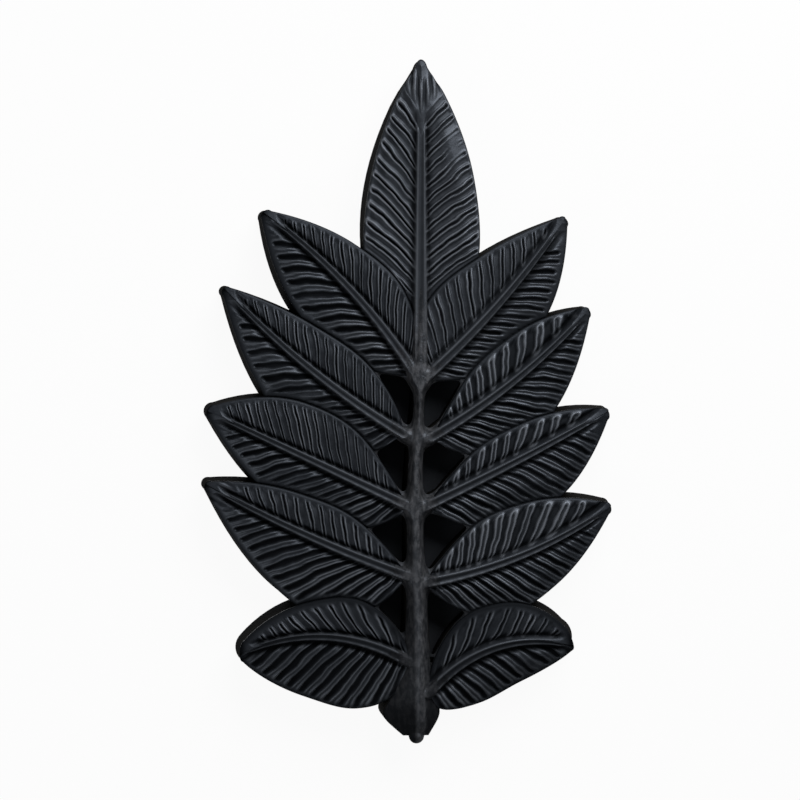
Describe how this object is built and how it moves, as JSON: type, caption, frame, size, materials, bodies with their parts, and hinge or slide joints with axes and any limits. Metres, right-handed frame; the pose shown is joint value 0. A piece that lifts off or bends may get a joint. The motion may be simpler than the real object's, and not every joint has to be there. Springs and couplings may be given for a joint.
{
  "type": "leaf grabber hand",
  "caption": "Leaf-shaped hand scoop with veined leaflets on a stem, a flat closed back and a bail handle that folds into it, for gathering leaves.",
  "frame": {"origin": "under the middle of the leaf, in the plane of its rear rim", "axes": "+Z out of the veined face, +Y from the stem to the leaf's tip, +X to the right seen from the face"},
  "size_m": [0.242, 0.4002, 0.031],
  "materials": {
    "leaf_plastic": "satin black, moulded",
    "cover_plastic": "matt black, fine grain",
    "grip_plastic": "matt black, stippled",
    "bracket_plastic": "matt black, glass filled",
    "rod_steel": "black coated steel",
    "screw_steel": "black zinc",
    "spring_steel": "bright spring steel",
    "insert_brass": "turned brass"
  },
  "bodies": {
    "leaf_body": {"leaf_shell": "leaf_plastic", "rear_cover": "cover_plastic", "handle_tray": "cover_plastic", "cover_screws": "screw_steel", "tray_screws": "screw_steel", "bracket_screws": "screw_steel", "tray_inserts": "insert_brass", "hinge_bracket_left": "bracket_plastic", "hinge_bracket_right": "bracket_plastic", "pivot_washer_left": "spring_steel", "pivot_washer_right": "spring_steel", "snap_clip_left": "spring_steel", "snap_clip_right": "spring_steel"},
    "handle": {"bail_rod": "rod_steel", "grip_half_front": "grip_plastic", "grip_half_back": "grip_plastic", "grip_screws": "screw_steel", "pivot_cap_left": "spring_steel", "pivot_cap_right": "spring_steel"}
  },
  "joints": [
    {"name": "handle_fold", "type": "hinge", "parent": "leaf_body", "child": "handle", "pos_m": [0, 0.0225, 0.0095], "axis": [-1, 0, 0], "range_deg": [0, 90]}
  ]
}
